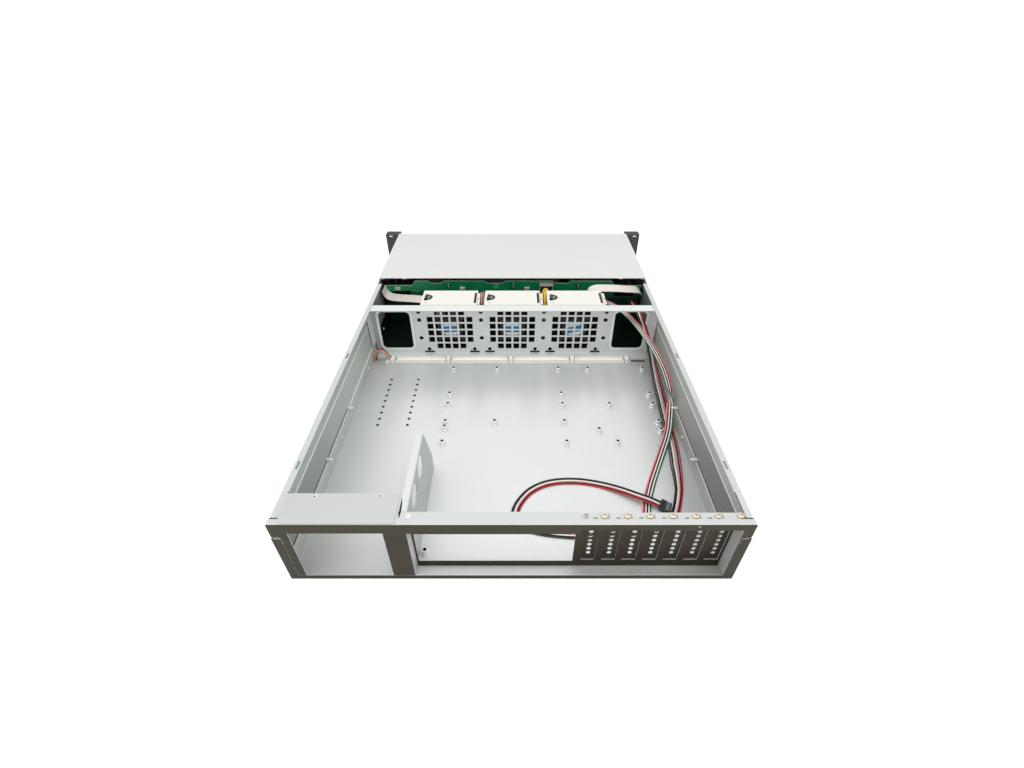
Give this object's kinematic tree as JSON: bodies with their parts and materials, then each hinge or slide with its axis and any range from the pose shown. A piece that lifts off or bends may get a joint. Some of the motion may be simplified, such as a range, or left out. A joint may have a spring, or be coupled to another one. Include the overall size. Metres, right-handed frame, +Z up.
{
  "type": "rackmount server case",
  "caption": "Two-unit rack server case with its top cover off: drive trays in front, a wall of fans, and empty mainboard and power supply bays behind",
  "frame": {"origin": "middle of the case's box, on its underside", "axes": "+Z up, front towards -Y, +X to the right seen from the front"},
  "size_m": [0.4826, 0.6676, 0.088],
  "materials": {
    "zinc_steel": "zinc-plated sheet, matt",
    "yellow_zinc": "yellow passivated zinc",
    "fan_plastic": "moulded, fine grain",
    "carrier_plastic": "moulded, fine grain",
    "board_green": "solder mask, satin",
    "connector_plastic": "moulded",
    "trough_plastic": "moulded",
    "ear_metal": "powder coat, fine grain",
    "button_plastic": "polished",
    "tray_metal": "powder coat, fine grain",
    "lever_plastic": "moulded",
    "ribbon_plastic": "ribbed jacket",
    "wire_plastic": "smooth jacket",
    "plug_plastic": "moulded"
  },
  "bodies": {
    "case": {"backplane": "board_green", "backplane_connectors": "connector_plastic", "bay_dividers": "zinc_steel", "board_standoffs": "zinc_steel", "cable_trough": "trough_plastic", "chassis_rivets": "zinc_steel", "drive_lid": "zinc_steel", "fan_carrier_1": "carrier_plastic", "fan_carrier_2": "carrier_plastic", "fan_carrier_3": "carrier_plastic", "fan_frame_1": "fan_plastic", "fan_frame_2": "fan_plastic", "fan_frame_3": "fan_plastic", "fan_leads": "wire_plastic", "fan_wall": "zinc_steel", "floor_pan": "zinc_steel", "left_ear": "ear_metal", "left_side_wall": "zinc_steel", "psu_bracket": "zinc_steel", "psu_top_plate": "zinc_steel", "rear_panel": "zinc_steel", "ribbon_left": "ribbon_plastic", "ribbon_right": "ribbon_plastic", "right_ear": "ear_metal", "right_side_wall": "zinc_steel", "slot_covers": "zinc_steel", "slot_screws": "yellow_zinc", "status_lead": "wire_plastic", "status_plug": "plug_plastic", "switch_lead": "wire_plastic", "switch_plug": "plug_plastic"},
    "rotor_1": {"fan_rotor_1": "fan_plastic"},
    "rotor_2": {"fan_rotor_2": "fan_plastic"},
    "rotor_3": {"fan_rotor_3": "fan_plastic"},
    "drive_tray_1_1": {"tray_1_1": "tray_metal"},
    "drive_lever_1_1": {"lever_1_1": "lever_plastic"},
    "drive_tray_1_2": {"tray_1_2": "tray_metal"},
    "drive_lever_1_2": {"lever_1_2": "lever_plastic"},
    "drive_tray_1_3": {"tray_1_3": "tray_metal"},
    "drive_lever_1_3": {"lever_1_3": "lever_plastic"},
    "drive_tray_2_1": {"tray_2_1": "tray_metal"},
    "drive_lever_2_1": {"lever_2_1": "lever_plastic"},
    "drive_tray_2_2": {"tray_2_2": "tray_metal"},
    "drive_lever_2_2": {"lever_2_2": "lever_plastic"},
    "drive_tray_2_3": {"tray_2_3": "tray_metal"},
    "drive_lever_2_3": {"lever_2_3": "lever_plastic"},
    "drive_tray_3_1": {"tray_3_1": "tray_metal"},
    "drive_lever_3_1": {"lever_3_1": "lever_plastic"},
    "drive_tray_3_2": {"tray_3_2": "tray_metal"},
    "drive_lever_3_2": {"lever_3_2": "lever_plastic"},
    "drive_tray_3_3": {"tray_3_3": "tray_metal"},
    "drive_lever_3_3": {"lever_3_3": "lever_plastic"},
    "drive_tray_4_1": {"tray_4_1": "tray_metal"},
    "drive_lever_4_1": {"lever_4_1": "lever_plastic"},
    "drive_tray_4_2": {"tray_4_2": "tray_metal"},
    "drive_lever_4_2": {"lever_4_2": "lever_plastic"},
    "drive_tray_4_3": {"tray_4_3": "tray_metal"},
    "drive_lever_4_3": {"lever_4_3": "lever_plastic"},
    "power_key": {"power_button": "button_plastic"},
    "reset_key": {"reset_button": "button_plastic"}
  },
  "joints": [
    {"name": "rotor_1_spin", "type": "hinge", "parent": "case", "child": "rotor_1", "pos_m": [-0.095, -0.07, 0.0448], "axis": [0, 1, 0], "continuous": true},
    {"name": "rotor_2_spin", "type": "hinge", "parent": "case", "child": "rotor_2", "pos_m": [0, -0.07, 0.0448], "axis": [0, 1, 0], "continuous": true},
    {"name": "rotor_3_spin", "type": "hinge", "parent": "case", "child": "rotor_3", "pos_m": [0.095, -0.07, 0.0448], "axis": [0, 1, 0], "continuous": true},
    {"name": "tray_1_1_slide", "type": "slide", "parent": "case", "child": "drive_tray_1_1", "axis": [0, -1, 0], "range_m": [0, 0.165]},
    {"name": "lever_1_1_turn", "type": "hinge", "parent": "drive_tray_1_1", "child": "drive_lever_1_1", "pos_m": [-0.2053, -0.3264, 0.0158], "axis": [0, 0, -1], "range_deg": [0, 55]},
    {"name": "tray_1_2_slide", "type": "slide", "parent": "case", "child": "drive_tray_1_2", "axis": [0, -1, 0], "range_m": [0, 0.165]},
    {"name": "lever_1_2_turn", "type": "hinge", "parent": "drive_tray_1_2", "child": "drive_lever_1_2", "pos_m": [-0.2053, -0.3264, 0.0434], "axis": [0, 0, -1], "range_deg": [0, 55]},
    {"name": "tray_1_3_slide", "type": "slide", "parent": "case", "child": "drive_tray_1_3", "axis": [0, -1, 0], "range_m": [0, 0.165]},
    {"name": "lever_1_3_turn", "type": "hinge", "parent": "drive_tray_1_3", "child": "drive_lever_1_3", "pos_m": [-0.2053, -0.3264, 0.071], "axis": [0, 0, -1], "range_deg": [0, 55]},
    {"name": "tray_2_1_slide", "type": "slide", "parent": "case", "child": "drive_tray_2_1", "axis": [0, -1, 0], "range_m": [0, 0.165]},
    {"name": "lever_2_1_turn", "type": "hinge", "parent": "drive_tray_2_1", "child": "drive_lever_2_1", "pos_m": [-0.0993, -0.3264, 0.0158], "axis": [0, 0, -1], "range_deg": [0, 55]},
    {"name": "tray_2_2_slide", "type": "slide", "parent": "case", "child": "drive_tray_2_2", "axis": [0, -1, 0], "range_m": [0, 0.165]},
    {"name": "lever_2_2_turn", "type": "hinge", "parent": "drive_tray_2_2", "child": "drive_lever_2_2", "pos_m": [-0.0993, -0.3264, 0.0434], "axis": [0, 0, -1], "range_deg": [0, 55]},
    {"name": "tray_2_3_slide", "type": "slide", "parent": "case", "child": "drive_tray_2_3", "axis": [0, -1, 0], "range_m": [0, 0.165]},
    {"name": "lever_2_3_turn", "type": "hinge", "parent": "drive_tray_2_3", "child": "drive_lever_2_3", "pos_m": [-0.0993, -0.3264, 0.071], "axis": [0, 0, -1], "range_deg": [0, 55]},
    {"name": "tray_3_1_slide", "type": "slide", "parent": "case", "child": "drive_tray_3_1", "axis": [0, -1, 0], "range_m": [0, 0.165]},
    {"name": "lever_3_1_turn", "type": "hinge", "parent": "drive_tray_3_1", "child": "drive_lever_3_1", "pos_m": [0.0067, -0.3264, 0.0158], "axis": [0, 0, -1], "range_deg": [0, 55]},
    {"name": "tray_3_2_slide", "type": "slide", "parent": "case", "child": "drive_tray_3_2", "axis": [0, -1, 0], "range_m": [0, 0.165]},
    {"name": "lever_3_2_turn", "type": "hinge", "parent": "drive_tray_3_2", "child": "drive_lever_3_2", "pos_m": [0.0067, -0.3264, 0.0434], "axis": [0, 0, -1], "range_deg": [0, 55]},
    {"name": "tray_3_3_slide", "type": "slide", "parent": "case", "child": "drive_tray_3_3", "axis": [0, -1, 0], "range_m": [0, 0.165]},
    {"name": "lever_3_3_turn", "type": "hinge", "parent": "drive_tray_3_3", "child": "drive_lever_3_3", "pos_m": [0.0067, -0.3264, 0.071], "axis": [0, 0, -1], "range_deg": [0, 55]},
    {"name": "tray_4_1_slide", "type": "slide", "parent": "case", "child": "drive_tray_4_1", "axis": [0, -1, 0], "range_m": [0, 0.165]},
    {"name": "lever_4_1_turn", "type": "hinge", "parent": "drive_tray_4_1", "child": "drive_lever_4_1", "pos_m": [0.1127, -0.3264, 0.0158], "axis": [0, 0, -1], "range_deg": [0, 55]},
    {"name": "tray_4_2_slide", "type": "slide", "parent": "case", "child": "drive_tray_4_2", "axis": [0, -1, 0], "range_m": [0, 0.165]},
    {"name": "lever_4_2_turn", "type": "hinge", "parent": "drive_tray_4_2", "child": "drive_lever_4_2", "pos_m": [0.1127, -0.3264, 0.0434], "axis": [0, 0, -1], "range_deg": [0, 55]},
    {"name": "tray_4_3_slide", "type": "slide", "parent": "case", "child": "drive_tray_4_3", "axis": [0, -1, 0], "range_m": [0, 0.165]},
    {"name": "lever_4_3_turn", "type": "hinge", "parent": "drive_tray_4_3", "child": "drive_lever_4_3", "pos_m": [0.1127, -0.3264, 0.071], "axis": [0, 0, -1], "range_deg": [0, 55]},
    {"name": "power_press", "type": "slide", "parent": "case", "child": "power_key", "axis": [0, 1, 0], "range_m": [0, 0.0012], "stiffness_N_per_m": 400},
    {"name": "reset_press", "type": "slide", "parent": "case", "child": "reset_key", "axis": [0, 1, 0], "range_m": [0, 0.0012], "stiffness_N_per_m": 400}
  ]
}
